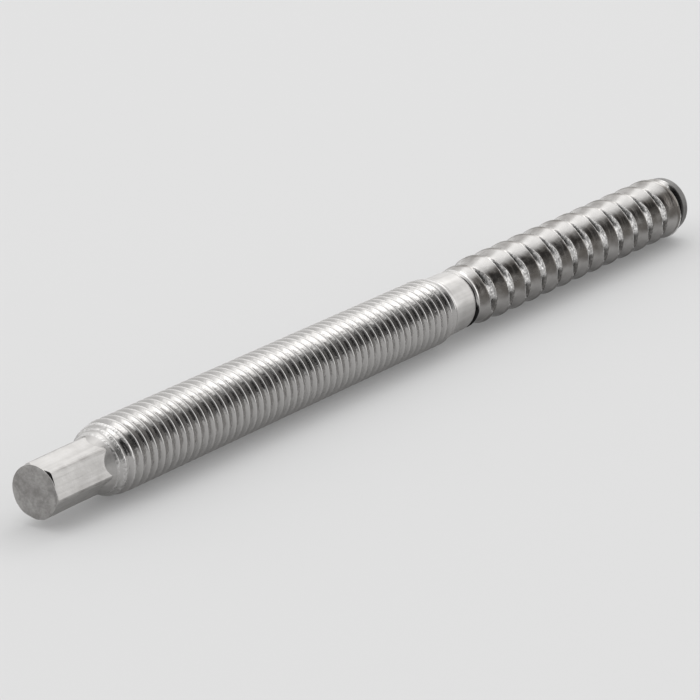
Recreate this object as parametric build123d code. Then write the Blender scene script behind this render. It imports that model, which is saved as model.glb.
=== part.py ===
from build123d import *
import math
import os

os.makedirs("parts", exist_ok=True)

# Hanger bolt, one piece of stainless steel, lying on its side.
# The axis runs along X: hexagon end at -X, wood thread tip at +X.
# The origin is under the middle of the length, on the surface that the bolt lies on.

# Overall sizes
total_length = 180.0
major_radius = 6.0              # M12 machine thread, over the crests
blank_radius = 5.35             # plain rod before its threads were rolled

# Hexagon drive end
hex_across_flats = 8.0
hex_corner_radius = 4.48        # the corners lie on a round bar of this radius
hex_chamfer = 0.35
hex_corner_height = 48.4        # degrees above level of the first corner, on the -Y side
hex_run_in = 14.9               # the hexagon runs on inside the shoulder to here

# Shoulder from the hexagon up to the machine thread, as distance from the end and radius
shoulder_start = (11.0, 3.95)
shoulder_blend = (12.3, 4.43)
shoulder_middle = (14.5, 5.34)
shoulder_top = (17.8, major_radius)
shoulder_bulge = 0.12           # how far the last stretch swells outside a straight cone

# Stretches along the bolt, measured from the hexagon end
machine_thread_end = 101.2      # the thread's crests end here
shank_start = 103.9
shank_end = 109.05
shank_rounding = 0.5

# Coarse rolled wood thread, right hand
coarse_pitch = 5.136
coarse_crest_radius = 5.95      # a little inside the machine thread, which the bolt lies on
coarse_root_radius = 4.95
crest_width = 1.45              # between the two lips of a crest
crest_valley_depth = 0.45       # the unfilled seam between the lips
groove_depth = 1.1              # of the round rolled groove, at its deepest
ridge_base_radius = 4.3         # the ridge starts inside the core
ridge_foot_inset = 0.03         # its wall ends this far inside the core's surface
ridge_start = 112.6             # middle of the ridge's first crest, from the hexagon end
ridge_start_height = 90.0       # degrees above level, on the -Y side, where the ridge starts
ridge_turns = 12.33

# Blunt tip
tip_collar_start = 177.4
tip_collar_slope = 0.5          # length over which the core widens to the collar
tip_rounding = 1.1


def turned_to(height):
    """Turns what starts at the upright bolt's +X side to this angle above level, at -Y."""
    return Rot(Z=270 - height)


def hexagon():
    """Hexagonal bar with rounded corners and a chamfered end, one corner at its +X side."""
    bar = extrude(RegularPolygon(hex_across_flats / 2, 6, major_radius=False), hex_run_in)
    outline = Polyline(
        (0, 0),
        (hex_corner_radius - hex_chamfer, 0),
        (hex_corner_radius, hex_chamfer),
        (hex_corner_radius, hex_run_in),
        (0, hex_run_in),
        close=True,
    )
    return bar & revolve(Plane.XZ * make_face(outline), Axis.Z)


def turned_body():
    """Everything that is round about the axis, from the shoulder to the tip."""
    start_z, start_r = shoulder_start
    blend_z, blend_r = shoulder_blend
    middle_z, middle_r = shoulder_middle
    top_z, top_r = shoulder_top
    shoulder = Polyline((0, start_z), (start_r, start_z), (blend_r, blend_z), (middle_r, middle_z))
    rounding = ThreePointArc(
        (middle_r, middle_z),
        ((middle_r + top_r) / 2 + shoulder_bulge, (middle_z + top_z) / 2),
        (top_r, top_z),
    )
    rest = Polyline(
        (top_r, top_z),
        (top_r, machine_thread_end),
        (blank_radius, shank_start),
        (blank_radius, shank_end - shank_rounding),
        (blank_radius - shank_rounding / 2, shank_end),
        (coarse_root_radius, shank_end),
        (coarse_root_radius, tip_collar_start),
        (blank_radius, tip_collar_start + tip_collar_slope),
        (blank_radius, total_length - tip_rounding),
    )
    halfway = tip_rounding * (1 - math.sqrt(0.5))
    tip = ThreePointArc(
        (blank_radius, total_length - tip_rounding),
        (blank_radius - halfway, total_length - halfway),
        (blank_radius - tip_rounding, total_length),
    )
    close = Polyline((blank_radius - tip_rounding, total_length), (0, total_length), (0, start_z))
    outline = Curve() + [shoulder, rounding, rest, tip, close]
    return revolve(Plane.XZ * make_face(outline), Axis.Z)


def coarse_ridge():
    """The wood thread's ridge: round grooves on both sides, and a seam along its crest."""
    half_crest = crest_width / 2
    half_groove = (coarse_pitch - crest_width) / 2
    groove_radius = (half_groove**2 + groove_depth**2) / (2 * groove_depth)
    groove_centre_z = half_crest + half_groove
    groove_centre_r = coarse_crest_radius - groove_depth + groove_radius
    foot_radius = coarse_root_radius - ridge_foot_inset

    def on_groove(radius):
        """Distance from the crest's middle to the groove's wall at this radius."""
        return groove_centre_z - math.sqrt(groove_radius**2 - (groove_centre_r - radius) ** 2)

    middle_radius = (coarse_crest_radius + foot_radius) / 2
    foot = on_groove(foot_radius)
    middle = on_groove(middle_radius)
    valley_radius = coarse_crest_radius - crest_valley_depth
    outline = Polyline(
        (ridge_base_radius, -foot),
        (foot_radius, -foot),
        (middle_radius, -middle),
        (coarse_crest_radius, -half_crest),
        (valley_radius, 0),
        (coarse_crest_radius, half_crest),
        (middle_radius, middle),
        (foot_radius, foot),
        (ridge_base_radius, foot),
        close=True,
    )
    profile = Plane.XZ * make_face(outline)
    path = Helix(coarse_pitch, ridge_turns * coarse_pitch, coarse_crest_radius)
    return sweep(profile, path, is_frenet=True)


def hanger_bolt():
    """The whole bolt, built upright on its hexagon end and then laid down."""
    ridge = Pos(Z=ridge_start) * turned_to(ridge_start_height) * coarse_ridge()
    upright = turned_body() + turned_to(hex_corner_height) * hexagon() + ridge
    return Pos(-total_length / 2, 0, major_radius) * Rot(Y=90) * upright


bolt = hanger_bolt()
export_step(bolt, "parts/hanger_bolt.step")
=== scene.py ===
import bpy
import math
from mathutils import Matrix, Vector


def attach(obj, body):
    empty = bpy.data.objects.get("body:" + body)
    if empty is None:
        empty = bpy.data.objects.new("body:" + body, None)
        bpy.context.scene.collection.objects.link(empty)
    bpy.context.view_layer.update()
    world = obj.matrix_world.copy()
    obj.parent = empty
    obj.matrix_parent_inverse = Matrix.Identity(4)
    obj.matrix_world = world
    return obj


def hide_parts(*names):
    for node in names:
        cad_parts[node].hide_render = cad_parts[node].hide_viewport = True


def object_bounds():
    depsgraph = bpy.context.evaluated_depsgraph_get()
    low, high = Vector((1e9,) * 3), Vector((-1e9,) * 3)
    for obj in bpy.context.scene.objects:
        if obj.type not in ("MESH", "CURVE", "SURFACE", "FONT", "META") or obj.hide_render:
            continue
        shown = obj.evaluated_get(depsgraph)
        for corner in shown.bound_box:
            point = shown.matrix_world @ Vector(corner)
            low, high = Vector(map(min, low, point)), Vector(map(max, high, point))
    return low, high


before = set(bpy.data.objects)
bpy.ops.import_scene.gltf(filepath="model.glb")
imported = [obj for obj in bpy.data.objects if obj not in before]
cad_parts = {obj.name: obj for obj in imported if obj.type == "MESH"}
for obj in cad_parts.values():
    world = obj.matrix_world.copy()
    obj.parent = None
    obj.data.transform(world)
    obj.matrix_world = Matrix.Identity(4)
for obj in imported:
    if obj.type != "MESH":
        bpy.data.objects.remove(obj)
startBounds = [list(corner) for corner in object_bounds()]
box = [Vector(corner) * 1000 for corner in startBounds]
print("frame loaded")


class Wire:
    # a socket in a node tree: Python's maths signs on it add Math nodes
    def __init__(self, tree, socket=None):
        self.tree, self.socket = tree, socket

    def node(self, kind, settings=None, inputs=None, output=0):
        # settings first, then a value or a wire for each socket; a list is for a socket that takes many
        made = self.tree.nodes.new(kind)
        for name, value in (settings or {}).items():
            setattr(made, name, value)
        for place, value in (inputs or {}).items():
            for one in value if isinstance(value, list) else [value]:
                if isinstance(one, Wire):
                    self.tree.links.new(one.socket, made.inputs[place])
                else:
                    made.inputs[place].default_value = one
        return Wire(self.tree, made.outputs[output] if made.outputs else None)

    def other(self, name):
        return Wire(self.tree, self.socket.node.outputs[name])

    def maths(self, operation, *values):
        return self.node("ShaderNodeMath", {"operation": operation}, dict(enumerate(values)))

    def __add__(self, value):
        return self.maths("ADD", self, value)

    def __sub__(self, value):
        return self.maths("SUBTRACT", self, value)

    def __rsub__(self, value):
        return self.maths("SUBTRACT", value, self)

    def __mul__(self, value):
        return self.maths("MULTIPLY", self, value)

    def __truediv__(self, value):
        return self.maths("DIVIDE", self, value)

    def __rtruediv__(self, value):
        return self.maths("DIVIDE", value, self)

    def __pow__(self, value):
        return self.maths("POWER", self, value)

    def __abs__(self):
        return self.maths("ABSOLUTE", self)

    def __neg__(self):
        return self.maths("MULTIPLY", self, -1.0)

    __radd__, __rmul__ = __add__, __mul__

    def sine(self):
        return self.maths("SINE", self)

    def cosine(self):
        return self.maths("COSINE", self)

    def least(self, value, soft=None):
        if soft is None:
            return self.maths("MINIMUM", self, value)
        return self.maths("SMOOTH_MIN", self, value, soft)

    def most(self, value, soft=None):
        if soft is None:
            return self.maths("MAXIMUM", self, value)
        return self.maths("SMOOTH_MAX", self, value, soft)

    def rise(self, low, high):
        # 0 below low and 1 above high, or the other way round where low is the larger
        return self.node("ShaderNodeMapRange", {"interpolation_type": "SMOOTHSTEP"},
                         {"Value": self, "From Min": low, "From Max": high})

    def towards(self, value, share):
        return self.node("ShaderNodeMix", {"data_type": "FLOAT"}, {0: share, 2: self, 3: value})

    def fromNearest(self):
        # how far it is from the nearest whole number, with its sign
        return self.maths("FRACT", self + 0.5) - 0.5

    def around(self, centre, reach, soft):
        # 1 within that many degrees of a direction round the bolt, and 0 away from it
        near, far = (math.cos(math.radians(reach + edge)) for edge in (-soft, soft))
        return (self - math.radians(centre)).cosine().rise(far, near)

    def aroundBoth(self, centre, reach, soft):
        # the same there and on the far side
        return self.around(centre, reach, soft) + self.around(centre + 180, reach, soft)


noiseSpread = 2.6               # brings most of a noise's values from round 0.5 to between -1 and 1

# the bolt's shape: millimetres from the hexagon end, degrees above level on the -Y side
boltSizes = {
    "length": round(box[1].x - box[0].x, 2),
    "axis height": round((box[0].z + box[1].z) / 2, 2),
    "hexagon across flats": 8.0,
    "hexagon corner radius": 4.48,
    "hexagon off centre": 0.1,
    "hexagon lean": 0.1,
    "hexagon lean length": 9.0,
    "hexagon sharp edges": 13.46,        # how far its edges are shaded sharp
    "end face radius": 4.28,
    "end face off centre": 0.25,
    "end face tilt": 0.15,
    "end face inset": 0.001,
    "end face dents": 0.03,
    "end burr": 0.24,
    "end burr width": 0.08,
    "end burr edge": 0.06,
    "end chamfer slope": 0.7,
    "end chamfer rounding": 0.04,
    "end nick width": 0.24,
    "end nick depth": 0.25,
    "end nick slope": 0.1,
    "shoulder end": 18.47,
    "shoulder fullness": 24.06,
    "shoulder foot": 5.57,
    "shoulder foot slope": -0.16,
    "shoulder delay": 0.9,
    "shoulder lean": 0.6,
    "thread radius": 6.0,
    "thread pitch": 1.75,
    "thread crest place": 18.24,
    "thread start": 13.7,
    "thread end": 102.1,
    "thread waviness": 0.05,
    "thread crest waviness": 0.02,
    "thread crest rounding": 0.12,
    "thread root rounding": 0.25,
    "thread lip place": 14.95,
    "thread lip height": 0.12,
    "thread lip dip place": 14.3,
    "thread lip dip": 0.1,
    "thread lip crinkle": 0.12,
    "shank start": 104.4,
    "shank radius": 5.3,
    "shank taper": 0.1,
    "shank end": 109.05,
    "shank end rounding": 0.3,
    "shank ring gap": 0.1,
    "wood thread radius": 5.91,
    "wood thread off centre": 0.1,
    "wood thread pitch": 5.136,
    "wood thread crest place": 113.52,
    "wood thread start": 110.3,
    "wood full height": 8.5,             # beyond the shank's end
    "wood turn length": 37.0,
    "wood groove depth": 1.2,
    "wood first groove": 0.6,            # its share of that depth
    "wood drop length": 0.6,
    "wood rise bend": 1.6,
    "wood crest half width": 1.05,
    "wood narrow crest": 0.27,           # its share of that width
    "wood crest wander": 0.06,
    "wood crest roughness": 0.05,
    "wood open crest end": 172.6,
    "wood seam depth": 0.36,
    "wood crack depth": 0.4,
    "wood right lip drop": 0.14,
    "wood thread end": 175.9,
    "first lip inset": 0.05,
    "first lip place": 0.75,             # beyond the shank's end
    "first lip height": 0.2,
    "first gap width": 0.1,
    "first gap opening": 0.66,           # more of it below
    "first gap depth": 0.3,
    "torn crest place": 176.15,
    "torn crest height": 0.1,
    "torn crest jags": 0.12,
    "torn gap start": 176.5,
    "torn gap radius": 3.9,
    "collar start": 177.5,
    "tip rounding": 1.1,
    "seed": 3.0,
}
boltDetail = {
    "columns": 90,              # round the bolt, one on each corner of the hexagon
    "thread rows": 12,          # in each turn
    "wood thread rows": 28,
    "shank rings": 27,
    "wide shank rings": 4,
    "collar rings": 30,
    "hexagon rows": 13,
    "shoulder rows": 8,
    "face rings": 12,
    "tip rings": 7,
}
firstCorner = 48.4              # where the first corner of the hexagon stands
seamAngle = firstCorner - 120   # the grid's seam runs along a corner
crestAngle = 26.3               # where the crest places are measured
lowSide = -59.0                 # the side that the hexagon leans to; the wood thread leans away from it
cutSide = 20.0                  # the side where the end was cut shorter
lateSide = 115.0                # the side where the shoulder starts last
sharpEdge = 12.0                # the least bend of an edge that is shaded sharp

# stretches round the bolt: the middle, the reach to each side, and how softly it ends
boltArcs = {
    "smaller burr": (firstCorner - 150, 30, 10),
    "nick": (40, 12, 16),
    "shallow nick": (16, 14, 8),
    "open crest": (20, 30, 26),
    "wedge crack": (-13, 11, 6),
    "streak crack": (49, 14, 8),
    # bands round the wood thread: two painted darker, and one painted lighter under a painted highlight
    "darker band": (28, 28, 14),
    "painted highlight": (70, 13, 8),
    "darker top": (112, 20, 12),
    "first gap": (-12, 80, 12),
    "wide gap": (-42, 40, 12),
    "torn end": (0, 58, 12),
}
# of a metric thread, for each millimetre of its pitch
metricDepth = 0.6134
metricCrestCut = 0.10825
# how often the rows gather in each turn, and how strongly
rowGather = {"thread": (2, 0.35), "wood thread": (1, 0.5)}


def boltShape(metal):
    tree = bpy.data.node_groups.new("hangerBolt", "GeometryNodeTree")
    tree.interface.new_socket("Geometry", in_out="OUTPUT", socket_type="NodeSocketGeometry")
    for name, value in boltSizes.items():
        socket = tree.interface.new_socket(name, in_out="INPUT", socket_type="NodeSocketFloat")
        socket.default_value = value
    bench = Wire(tree)
    opened = bench.node("NodeGroupInput")
    size = {name: opened.other(name) for name in boltSizes}
    columns = boltDetail["columns"]

    def noise(vector, scale, detail=2.0, roughness=0.5):
        # from -1 to 1 for most of its values
        made = bench.node("ShaderNodeTexNoise", {"noise_dimensions": "4D"},
                          {"Vector": vector, "W": size["seed"], "Scale": scale, "Detail": detail,
                           "Roughness": roughness})
        return (made - 0.5) * noiseSpread

    def vector(x, y, z):
        return bench.node("ShaderNodeCombineXYZ", None, {"X": x, "Y": y, "Z": z})

    def onBolt(place, radius, angle):
        return vector(place, -angle.cosine() * radius, angle.sine() * radius)

    def sleeve(rows, shape):
        # a grid rolled into a sleeve; shape gives the place, radius and marks of its points
        grid = bench.node("GeometryNodeMeshGrid", None, {
            "Size X": float(rows), "Size Y": 1.0, "Vertices X": rows + 1, "Vertices Y": columns + 1})
        apart = bench.node("ShaderNodeSeparateXYZ", None, {0: bench.node("GeometryNodeInputPosition")})
        row, turn = apart + rows / 2, apart.other("Y") + 0.5
        angle = math.radians(seamAngle) - turn * math.tau
        place, radius, marks = shape(row, turn, angle)
        for name, mark in marks.items():
            kept = {"data_type": "FLOAT", "domain": "POINT"}
            grid = bench.node("GeometryNodeStoreNamedAttribute", kept,
                              {"Geometry": grid, "Name": name, "Value": mark})
        spot = onBolt(place, radius, angle)
        spot = bench.node("ShaderNodeVectorMath", {"operation": "ADD"},
                          {0: spot, 1: vector(size["length"] * -0.5, 0.0, size["axis height"])})
        spot = bench.node("ShaderNodeVectorMath", {"operation": "SCALE"}, {0: spot, "Scale": 0.001})
        return bench.node("GeometryNodeSetPosition", None, {"Geometry": grid, "Position": spot})

    def fromFlat(angle):
        # the angle to the middle of the nearest flat
        sixth = math.radians(60)
        return ((angle - math.radians(firstCorner + 30)) / sixth).fromNearest() * sixth

    def leanAt(place):
        return place.rise(size["hexagon lean length"], 0.0)

    def hexagonRadius(angle, lean=0.0):
        # distance to the nearest flat, with the corners on a round bar, a little off the bolt's axis,
        # and further off it towards the end, where lean is 1
        radius = size["hexagon across flats"] * 0.5 / fromFlat(angle).cosine()
        radius = radius.least(size["hexagon corner radius"])
        shift = size["hexagon off centre"] + size["hexagon lean"] * lean
        return radius + (angle - math.radians(lowSide)).cosine() * shift

    def leaning(angle):
        # the shoulder's foot starts further on at its upper back
        return (angle - math.radians(lateSide)).cosine() * size["shoulder lean"] + size["shoulder delay"]

    def shoulderRadius(place, angle):
        left = (size["shoulder end"] - place).most(0.0)
        left = left + leaning(angle) * (left / size["shoulder foot"]).least(1.0) ** 2
        left = left.most(0.0)
        foot = (left - size["shoulder foot"]).most(0.0) * size["shoulder foot slope"]
        return size["thread radius"] - left * left / size["shoulder fullness"] - foot

    def crease(angle):
        # where a flat runs out into the shoulder's foot
        slope, full = size["shoulder foot slope"], size["shoulder fullness"]
        drop = size["thread radius"] + slope * size["shoulder foot"] - hexagonRadius(angle)
        left = ((slope * slope + drop * 4 / full) ** 0.5 - slope) * full * 0.5
        return size["shoulder end"] - left + leaning(angle)

    def threadRadius(place, turn, angle):
        # a 60 degree thread, cut off by the shoulder, shallow at its start and fading out at the shank
        skin = onBolt(place, size["thread radius"], angle)
        wander = noise(skin, 0.55) * size["thread waviness"]
        wander = wander * (1 + place.rise(17.0, 14.5) * 2)
        phase = (place + wander - crestAtSeam["thread"]) / size["thread pitch"] - turn
        off = abs(phase.fromNearest()) * size["thread pitch"]
        depth = size["thread pitch"] * metricDepth * (1 - place.rise(15.9, 13.8) * 0.9)
        uneven = (noise(skin, 1.1) - 1) * size["thread crest waviness"]
        crest = size["thread radius"] + uneven
        flank = size["thread radius"] + size["thread pitch"] * metricCrestCut - off * math.sqrt(3)
        cut = flank.least(crest, size["thread crest rounding"])
        cut = cut.most(size["thread radius"] - depth, size["thread root rounding"])
        shank = shankRadius(place)
        cut = cut.towards(shank, place.rise(size["thread end"] - 1.6, size["shank start"] - 0.5))
        # a wavy lip where the first turn pushed up the shoulder
        crinkle = noise(skin, 1.6, 3.0)
        crinkled = place + crinkle * size["thread lip crinkle"]
        lip = abs(crinkled - size["thread lip place"]).rise(0.5, 0.1) * size["thread lip height"]
        lip = lip - abs(crinkled - size["thread lip dip place"]).rise(0.35, 0.05) * size["thread lip dip"]
        return cut.least(shoulderRadius(place, angle) + lip * (1 + crinkle * 0.8))

    def shankRadius(place):
        # a slight taper towards the wood thread
        taper = place.rise(size["shank end"] - 1.0, size["thread end"]) * size["shank taper"]
        return size["shank radius"] + taper

    def helixPlace(row, turn, kind, before, first, last):
        # rows follow the thread, closer together at its crests, and peel off level rings at both ends
        share = row / boltDetail[kind + " rows"]
        often, pull = rowGather[kind]
        waves = math.tau * often
        gathered = share - (share * waves).sine() * (pull / waves)
        place = crestAtSeam[kind] + (gathered + turn - (1 + before)) * size[kind + " pitch"]
        return place.most(first).least(last)

    def atSeam(sizes, kind):
        return sizes[kind + " crest place"] + sizes[kind + " pitch"] * ((crestAngle - seamAngle) / 360)

    crestAtSeam = {kind: atSeam(size, kind) for kind in rowGather}

    def turnsAndRows(kind, first, last):
        # whole turns before the crest at the seam, and the rows that reach from first to last
        crest, pitch = atSeam(boltSizes, kind), boltSizes[kind + " pitch"]
        before = math.ceil((crest - first) / pitch)
        return before, boltDetail[kind + " rows"] * (math.ceil((last - crest) / pitch) + before + 1)

    def faceEdge(angle):
        # a round end face off the axis: it leaves the upper corners chamfered, and a burr over the flats
        shift = (angle - math.radians(lowSide)).cosine() * size["end face off centre"]
        rim = size["end face radius"] + shift
        burr = (1 - angle.around(*boltArcs["smaller burr"]) * 0.15) * size["end burr"]
        return rim.least(hexagonRadius(angle, 1.0) + burr)

    def cutPlace(radius, angle):
        # the end is cut a little askew
        slant = (angle - math.radians(cutSide)).cosine() * radius / size["end face radius"]
        return ((slant + 1.02) * size["end face tilt"]).most(0.0)

    def face(row, turn, angle):
        share = row / boltDetail["face rings"]
        radius = share * faceEdge(angle)
        dents = noise(onBolt(0.0, radius, angle), 1.3, 3.0) * size["end face dents"]
        dents = (dents * share.rise(1.0, 0.8)).most(0.0)
        place = cutPlace(radius, angle) + dents + size["end face inset"]
        return place, radius, {"matte": 2.0}

    def hexagon(row, turn, angle):
        # rows 0 and 1 are the burr's edge, 2 lies behind it, in a nick beside the first corner, 3 ends
        # the chamfers of the corners, and the flats start at 4
        edge = faceEdge(angle)
        nick = angle.around(*boltArcs["nick"]).most(angle.around(*boltArcs["shallow nick"]) * 0.35)
        cut = cutPlace(edge, angle) + size["end face inset"]
        proud = (hexagonRadius(angle, leanAt(cut)) - edge).most(0.0)
        slope = size["end chamfer slope"].towards(size["end nick slope"], nick)
        ramp = nick * size["end nick width"] + proud * slope + size["end burr edge"]
        cut = cut + row.rise(0.0, 1.0) * size["end burr width"] + row.rise(1.0, 2.0) * size["end burr edge"]
        cut = cut + row.rise(2.0, 3.0) * ramp + row.rise(3.0, 4.0) * size["end chamfer rounding"]
        inner = (row - 4).most(0.0) / (boltDetail["hexagon rows"] - 4)
        place = cut.towards(crease(angle), inner)
        # the nick behind the burr carries the gap mark, a painted shade, near black
        under = nick.rise(0.0, 0.3) * row.rise(1.0, 2.0)
        radius = edge.towards(hexagonRadius(angle, leanAt(place)), row.rise(1.0, 2.0))
        hollow = proud * 0.9 + nick * size["end nick depth"]
        radius = radius - hollow * row.rise(1.0, 2.0) * row.rise(3.0, 2.0)
        # the corners are painted darker along a thin band
        darkCorner = abs(fromFlat(angle)).rise(math.radians(24), math.radians(29)) * row.rise(4.0, 5.0)
        return place, radius, {"matte": 1 + row.rise(1.0, 0.0), "gap": under * row.rise(4.0, 3.0),
                               "stain": darkCorner * 0.5}

    def shoulder(row, turn, angle):
        # row 0 lies on the flats, and row 1 stands a little higher at some corners
        share = (row - 1).most(0.0) / boltDetail["shoulder rows"]
        place = crease(angle).towards(size["thread start"], share)
        flat = hexagonRadius(angle)
        foot = flat.towards(0.0, share.rise(0.0, 0.01))
        radius = flat.towards(threadRadius(place, turn, angle).most(foot), row)
        return place, radius, {"matte": 0.8}

    threadBefore, threadRows = turnsAndRows("thread", boltSizes["thread start"], boltSizes["shank start"])

    def thread(row, turn, angle):
        place = helixPlace(row, turn, "thread", threadBefore, size["thread start"], size["shank start"])
        radius = threadRadius(place, turn, angle)
        filled = (shoulderRadius(place, angle) - radius).rise(0.02, 0.0) * place.rise(17.2, 16.2)
        matte = place.rise(size["thread end"] + 0.4, size["shank start"] - 0.4)
        return place, radius, {"crest": filled * 0.5, "matte": matte}

    woodBefore, woodRows = turnsAndRows("wood thread", boltSizes["wood thread start"],
                                        boltSizes["wood thread end"])

    def woodSurface(place, turn, angle):
        pitch, blank, past = size["wood thread pitch"], size["shank radius"], place - size["shank end"]
        phase = (place - crestAtSeam["wood thread"]) / pitch - turn
        off = phase.fromNearest() * pitch                    # from the middle of the nearest crest
        run = (place - off) / pitch * size["wood turn length"]
        fold = noise(vector(run * 0.9, off * 3.5, 0.0), 1.0, 3.0, 0.6)
        wander = noise(vector(run * 0.35, 7.0, 0.0), 1.0) * size["wood crest wander"]
        grown = past.rise(1.5, size["wood full height"])
        # on two sides the rolled metal did not fill the crest, so that two lips stand apart there
        openEnd = size["wood open crest end"]
        apart = angle.aroundBoth(*boltArcs["open crest"]).least(1.0) * place.rise(openEnd + 1, openEnd)
        narrow = size["wood narrow crest"]
        half = size["wood crest half width"] * (apart * (1 - narrow) + narrow)
        across = (off + wander) / half
        seam = (1 - across * across).most(0.0) * apart
        top = blank.towards(size["wood thread radius"], grown)
        top = top - seam * size["wood seam depth"] * (1 + fold * 0.9)
        top = top - (fold + 1) * size["wood crest roughness"] * seam.rise(0.0, 0.3)
        wedge = angle.aroundBoth(*boltArcs["wedge crack"]) * across.rise(-0.5, 0.0)
        streak = abs(across + 0.15 + fold * 0.2).rise(0.65, 0.3)
        streak = angle.aroundBoth(*boltArcs["streak crack"]) * streak
        crack = (wedge + streak) * seam.rise(0.0, 0.12) * past.rise(0.95, 1.95)
        top = top - crack * size["wood crack depth"]
        top = top - across.rise(-0.6, 1.0) * apart * size["wood right lip drop"]
        # a steep drop on the right of each crest, and a long rise to the next one
        beyond = (phase - phase.maths("FLOOR", phase)) * pitch + wander - half
        share = (beyond / (pitch - half * 2)).most(0.0).least(1.0)
        groove = beyond.rise(0.0, size["wood drop length"]) * (1 - share ** size["wood rise bend"])
        groove = groove * (grown * (1 - size["wood first groove"]) + size["wood first groove"])
        radius = top - groove * size["wood groove depth"]
        radius = radius - (angle - math.radians(lowSide)).cosine() * size["wood thread off centre"]
        # the shank's rounded end, a thin groove and a lip, and a gap that opens below them
        lip = blank - size["first lip inset"]
        lip = lip - abs(past - size["first lip place"]).rise(0.2, 0.5) * size["first lip height"]
        radius = lip.towards(radius, past.rise(0.85, 1.5))
        rounded = shankRadius(place) - past.rise(-0.9, 0.1) * size["shank end rounding"]
        radius = rounded.towards(radius, past.rise(0.1, 0.3))
        below = angle.around(*boltArcs["wide gap"])
        opening = below * size["first gap opening"] + size["first gap width"]
        gap = angle.around(*boltArcs["first gap"]) * past.rise(-0.12, 0.05)
        gap = gap * (opening + 0.15 - past).rise(0.0, 0.12)
        slit = gap * (opening - past).rise(0.0, 0.12) * (below * 0.9 + size["first gap depth"])
        # the last crest ends in a burr over a deep gap, and then comes the blank collar
        collar = place.rise(size["collar start"], size["collar start"] + 0.25)
        radius = radius.towards(blank, collar) - slit
        jagged = place + noise(vector(angle * 2.5, 3.0, 0.0), 1.0, 4.0, 0.7) * size["torn crest jags"]
        beside = angle.around(*boltArcs["torn end"])
        burr = beside * abs(jagged - size["torn crest place"]).rise(0.55, 0.25)
        torn = beside * jagged.rise(size["torn gap start"], size["torn gap start"] + 0.15)
        hollow = torn * place.rise(size["collar start"] + 0.15, size["collar start"] - 0.1)
        radius = (radius + burr * size["torn crest height"]).towards(size["torn gap radius"], hollow)
        shaded = torn * place.rise(size["collar start"] + 0.3, size["collar start"] + 0.1)
        # the gap mark paints shade near black in the slit and the torn gap, and more faintly in the crest
        # cracks
        gap = gap.most(shaded).most(crack * 0.6)
        # soil from the rolling over the wood thread, darker in two bands round the bolt, lighter where a
        # painted highlight falls, and painted shade in a thin band along each narrow crest
        grooveDarkening = angle.aroundBoth(*boltArcs["darker band"]) * 0.6 + 0.4
        # lighter where the highlight falls: a painted highlight
        grooveDarkening = grooveDarkening - angle.aroundBoth(*boltArcs["painted highlight"]) * 0.4
        grooveDarkening = grooveDarkening + angle.aroundBoth(*boltArcs["darker top"]) * 0.25
        # a thin band of painted shade along each narrow crest
        line = abs(off + wander - 0.2).rise(0.95, 0.25) * (1 - apart)
        bright = seam.rise(0.0, 0.25) * past.rise(0.8, 1.8)
        bright = bright * place.rise(size["wood thread end"] + 0.5, size["wood thread end"] - 0.1)
        stain = past.rise(0.8, 2.0) * (1 - bright * 0.7) * (grooveDarkening + line * 0.7)
        # the cracks get it too, as painted shade; the burr is kept clear of it
        stain = stain.most(crack) * (1 - burr)
        bright = (bright * (1 - crack * 0.8)).most(burr)
        matte = past.rise(0.2, -0.2) + collar
        return radius, {"crest": bright, "gap": gap, "stain": stain, "matte": matte, "dull": collar}

    def shank(row, turn, angle):
        # level rings, close together round the gap at its end
        rings, wide, gap = boltDetail["shank rings"], boltDetail["wide shank rings"], size["shank ring gap"]
        first, last = size["shank start"], size["wood thread start"]
        extra = (last - first - gap * rings) / wide
        place = last - (rings - row).most(0.0) * gap - (wide - row).most(0.0) * extra
        return place, *woodSurface(place, turn, angle)

    def woodThread(row, turn, angle):
        place = helixPlace(row, turn, "wood thread", woodBefore, size["wood thread start"],
                           size["wood thread end"])
        return place, *woodSurface(place, turn, angle)

    def collarRings(row, turn, angle):
        start, end = size["wood thread end"], size["length"] - size["tip rounding"]
        place = start.towards(end, row / boltDetail["collar rings"])
        return place, *woodSurface(place, turn, angle)

    def tip(row, turn, angle):
        share = row / boltDetail["tip rings"]
        bow = share.least(0.5) * math.pi                     # the rounded edge, then the flat end
        flat = (share - 0.5).most(0.0) * 2
        place = size["length"] - size["tip rounding"] * (1 - bow.sine())
        radius = size["shank radius"] - size["tip rounding"] * (1 - bow.cosine())
        return place, radius * (1 - flat), {"dull": 1 - flat * 0.6, "matte": 1.0}

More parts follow.
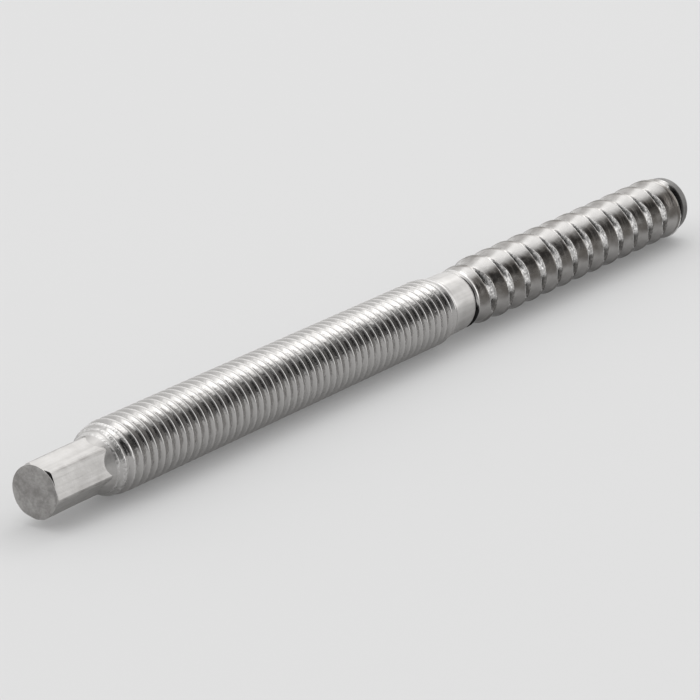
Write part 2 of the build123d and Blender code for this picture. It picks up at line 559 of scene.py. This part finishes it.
    parts = [
        sleeve(boltDetail["face rings"], face),
        sleeve(boltDetail["hexagon rows"], hexagon),
        sleeve(boltDetail["shoulder rows"] + 1, shoulder),
        sleeve(threadRows, thread),
        sleeve(boltDetail["shank rings"], shank),
        sleeve(woodRows, woodThread),
        sleeve(boltDetail["collar rings"], collarRings),
        sleeve(boltDetail["tip rings"], tip),
    ]
    whole = bench.node("GeometryNodeJoinGeometry", None, {"Geometry": parts})
    whole = bench.node("GeometryNodeMergeByDistance", None, {"Geometry": whole, "Distance": 2e-6})
    whole = bench.node("GeometryNodeFlipFaces", None, {"Mesh": whole})       # the sleeves face inwards
    whole = bench.node("GeometryNodeSetShadeSmooth", None, {"Geometry": whole, "Shade Smooth": True})
    edgeAngle = bench.node("GeometryNodeInputMeshEdgeAngle")
    height = bench.node("ShaderNodeSeparateXYZ", None, {0: bench.node("GeometryNodeInputPosition")})
    sharp = bench.maths("GREATER_THAN", edgeAngle, math.radians(sharpEdge))
    sharpReach = (size["hexagon sharp edges"] - size["length"] * 0.5) * 0.001
    atHexagon = sharp * bench.maths("LESS_THAN", height, sharpReach)
    whole = bench.node("GeometryNodeSetShadeSmooth", {"domain": "EDGE"},
                       {"Geometry": whole, "Selection": atHexagon, "Shade Smooth": False})
    whole = bench.node("GeometryNodeRealizeInstances", None, {"Geometry": whole})
    whole = bench.node("GeometryNodeSetMaterial", None, {"Geometry": whole, "Material": metal})
    bench.node("NodeGroupOutput", None, {"Geometry": whole})
    return tree


steelLook = {
    "steel": (0.46, 0.45, 0.44),
    "soil and shade": (0.13, 0.12, 0.11),      # partly soil and partly painted shade in the grooves of the wood thread; also the soil on the flats and the shank
    "gap": (0.02, 0.02, 0.02),
    # near black: a painted shade in gaps, cracks and undercuts
    "dull": (0.11, 0.106, 0.102),       # the tip, which the rolling left dirty
    "pits": (0.17, 0.165, 0.16),        # on the wood thread's torn crests
    "grit": (0.85, 0.84, 0.83),
    "cut face": (0.31, 0.302, 0.295),
    "soil": 0.35,                       # on the flats and the shank
    "gritty": 0.85,                     # share of the torn crests' own colours
    "roughness": 0.18,                  # of the rolled threads
    "satin": 0.27,                      # more of it on the flats and the shank
    "torn": 0.12,                       # more of it on the wood thread's crests
    "sawn": 0.1,                        # more of it on the end face
    "mottled": 0.03,                    # more and less of it everywhere
    "bump": 0.00002,                    # metres for a height of 1
}
# scale, stretch along and across the bolt, and detail of the noises in the steel
steelGrain = {
    "fine": (2400.0, (1.0, 1.0, 1.0), 3.0),
    "uneven": (900.0, (1.0, 1.0, 1.0), 3.0),
    "blotch": (420.0, (1.0, 1.0, 1.0), 4.0),
    "drawn": (1500.0, (0.06, 1.0, 1.0), 3.0),           # streaks along the bolt
    "rolled": (2600.0, (1.0, 0.08, 0.08), 3.0),         # lines round the bolt
}


def stainlessSteel():
    material = bpy.data.materials.new("stainlessSteel")
    material.use_nodes = True
    tree = material.node_tree
    tree.nodes.clear()
    bench = Wire(tree)
    spot = bench.node("ShaderNodeTexCoord", None, None, "Object")
    marks = {name: bench.node("ShaderNodeAttribute", {"attribute_name": name}, None, "Fac")
             for name in ("matte", "crest", "gap", "stain", "dull")}
    matte, crest, gap, stain, dull = marks.values()

    def grain(scale, stretch, detail):
        # noise with its own scale along the bolt and across it, from -1 to 1 for most of its values
        stretched = bench.node("ShaderNodeVectorMath", {"operation": "MULTIPLY"}, {0: spot, 1: stretch})
        made = bench.node("ShaderNodeTexNoise", None,
                          {"Vector": stretched, "Scale": scale, "Detail": detail})
        return (made - 0.5) * noiseSpread

    def blend(first, second, share):
        return bench.node("ShaderNodeMix", {"data_type": "RGBA"}, {0: share, 6: first, 7: second}, 2)

    fine, uneven, blotch, drawn, rolled = (grain(*kind) for kind in steelGrain.values())
    onFace = (matte - 1).most(0.0)
    satin = matte.least(1.0)
    colours = {name: (*look, 1.0) for name, look in steelLook.items() if isinstance(look, tuple)}
    # the mark darkens the steel in patches: soil on the wood thread, darker bands round it, painted shade
    # along its narrow crests and in its cracks, less under a painted highlight, and darker hexagon corners
    patchy = (stain * (0.85 + blotch * 0.3 + uneven * 0.2)).rise(0.0, 1.0)
    steel = blend(colours["steel"], colours["soil and shade"], patchy)
    sawn = (onFace * (0.5 + blotch * 0.45 + uneven * 0.45 + fine * 0.35)).rise(0.0, 1.0)
    steel = blend(steel, colours["cut face"], sawn)
    soiled = satin * (blotch * 0.6 + drawn * 0.7).rise(-0.8, 1.0) * steelLook["soil"]
    steel = blend(steel, colours["soil and shade"], soiled)
    torn = blend(colours["pits"], colours["grit"], (fine * 0.7 + uneven * 0.4).rise(-0.8, 0.6))
    steel = blend(steel, torn, crest * steelLook["gritty"])
    steel = blend(steel, colours["dull"], dull)
    # painted shade: where the gap mark lies the steel goes near black
    steel = blend(steel, colours["gap"], gap)
    roughness = (steelLook["roughness"] + satin * steelLook["satin"] + crest * steelLook["torn"]
                 + onFace * steelLook["sawn"] + blotch * steelLook["mottled"])
    height = rolled * 0.35 * (1 - satin) * (1 + stain * 2) + drawn * 0.7 * satin * (1 - onFace)
    height = height + blotch * 2.0 * onFace + fine * (0.25 + crest * 3.0 + onFace * 1.5)
    height = height + uneven * (0.5 + stain * 1.2)
    bump = bench.node("ShaderNodeBump", None,
                      {"Strength": 1.0, "Distance": steelLook["bump"], "Height": height})
    surface = bench.node("ShaderNodeBsdfPrincipled", None, {
        "Base Color": steel, "Metallic": 1 - dull * 0.8, "Roughness": roughness, "Normal": bump})
    bench.node("ShaderNodeOutputMaterial", None, {"Surface": surface})
    return material


bolt = bpy.data.objects.new("bolt", bpy.data.meshes.new("bolt"))
bpy.context.scene.collection.objects.link(bolt)
shape = bolt.modifiers.new("shape", "NODES")
shape.node_group = boltShape(stainlessSteel())
for item in shape.node_group.interface.items_tree:
    if item.in_out == "INPUT":
        shape[item.identifier] = boltSizes[item.name]
made = bpy.data.meshes.new_from_object(bolt.evaluated_get(bpy.context.evaluated_depsgraph_get()))
bolt.modifiers.remove(shape)
bolt.data = made
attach(bolt, "root")
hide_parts("hanger_bolt")
triangles = sum(len(polygon.vertices) - 2 for polygon in made.polygons)
print("bolt made:", len(made.vertices), "points,", triangles, "triangles")


# a plain pale floor and soft studio light
studio = {
    "floor size": 6.0,
    "floor colour": (0.46, 0.46, 0.46),
    "floor roughness": 0.9,
    "floor glow": 0.15,
    "room light": 1.1,
    "least light": 0.03,
    # azimuth from +X towards +Y, height, tightness, and how much it adds to the room's light
    "soft lights": {
        "right wall": (25, 15, 3.0, 0.75),
        "overhead": (80, 74, 10.0, 1.4),
        "strip": (14, 41, 50.0, 3.6),
        "lamp": (170, 36, 28.0, 3.0),
        "low right": (-40, 12, 9.0, 1.6),
        "dark front": (-95, 34, 7.0, -1.0),
        "camera": (-160, 15, 9.0, -1.5),
    },
}

bpy.ops.mesh.primitive_plane_add(size=studio["floor size"])
floor = bpy.context.active_object
floor.name = "floor"
paint = bpy.data.materials.new("floorPaint")
paint.use_nodes = True
for socket, value in (
    ("Base Color", (*studio["floor colour"], 1.0)),
    ("Roughness", studio["floor roughness"]),
    ("Emission Color", (1.0, 1.0, 1.0, 1.0)),
    ("Emission Strength", studio["floor glow"]),
):
    paint.node_tree.nodes["Principled BSDF"].inputs[socket].default_value = value
floor.data.materials.append(paint)

world = bpy.data.worlds.new("studio")
bpy.context.scene.world = world
world.use_nodes = True
world.node_tree.nodes.clear()
bench = Wire(world.node_tree)
direction = bench.node("ShaderNodeTexCoord", None, None, "Generated")
strength = studio["room light"]
for azimuth, height, tightness, light in studio["soft lights"].values():
    azimuth, height = math.radians(azimuth), math.radians(height)
    level = math.cos(height)
    towards = (level * math.cos(azimuth), level * math.sin(azimuth), math.sin(height))
    near = bench.node("ShaderNodeVectorMath", {"operation": "DOT_PRODUCT"},
                      {0: direction, 1: towards}, "Value")
    strength = bench.maths("EXPONENT", (near - 1) * tightness) * light + strength
light = bench.node("ShaderNodeBackground", None, {"Strength": strength.most(studio["least light"])})
bench.node("ShaderNodeOutputWorld", None, {"Surface": light})
bpy.context.scene.view_settings.view_transform = "Standard"
print("studio made")

cameraView = {
    "lens": 169.0,
    "sensor width": 36.0,
    "azimuth": -53.5,
    "elevation": 19.7,
    "distance": 0.5485,
    "aim": (-0.01082, 0.0, 0.0055),
    "nearest and farthest": (0.01, 50.0),
}
camera = bpy.data.objects.new("camera", bpy.data.cameras.new("camera"))
bpy.context.scene.collection.objects.link(camera)
camera.data.lens = cameraView["lens"]
camera.data.sensor_width = cameraView["sensor width"]
azimuth, elevation = math.radians(cameraView["azimuth"]), math.radians(cameraView["elevation"])
back = Vector((math.sin(azimuth) * math.cos(elevation), -math.cos(azimuth) * math.cos(elevation),
               math.sin(elevation)))
camera.location = Vector(cameraView["aim"]) + back * cameraView["distance"]
camera.rotation_euler = (-back).to_track_quat("-Z", "Y").to_euler()
camera.data.clip_start, camera.data.clip_end = cameraView["nearest and farthest"]
bpy.context.scene.camera = camera
print("camera placed")
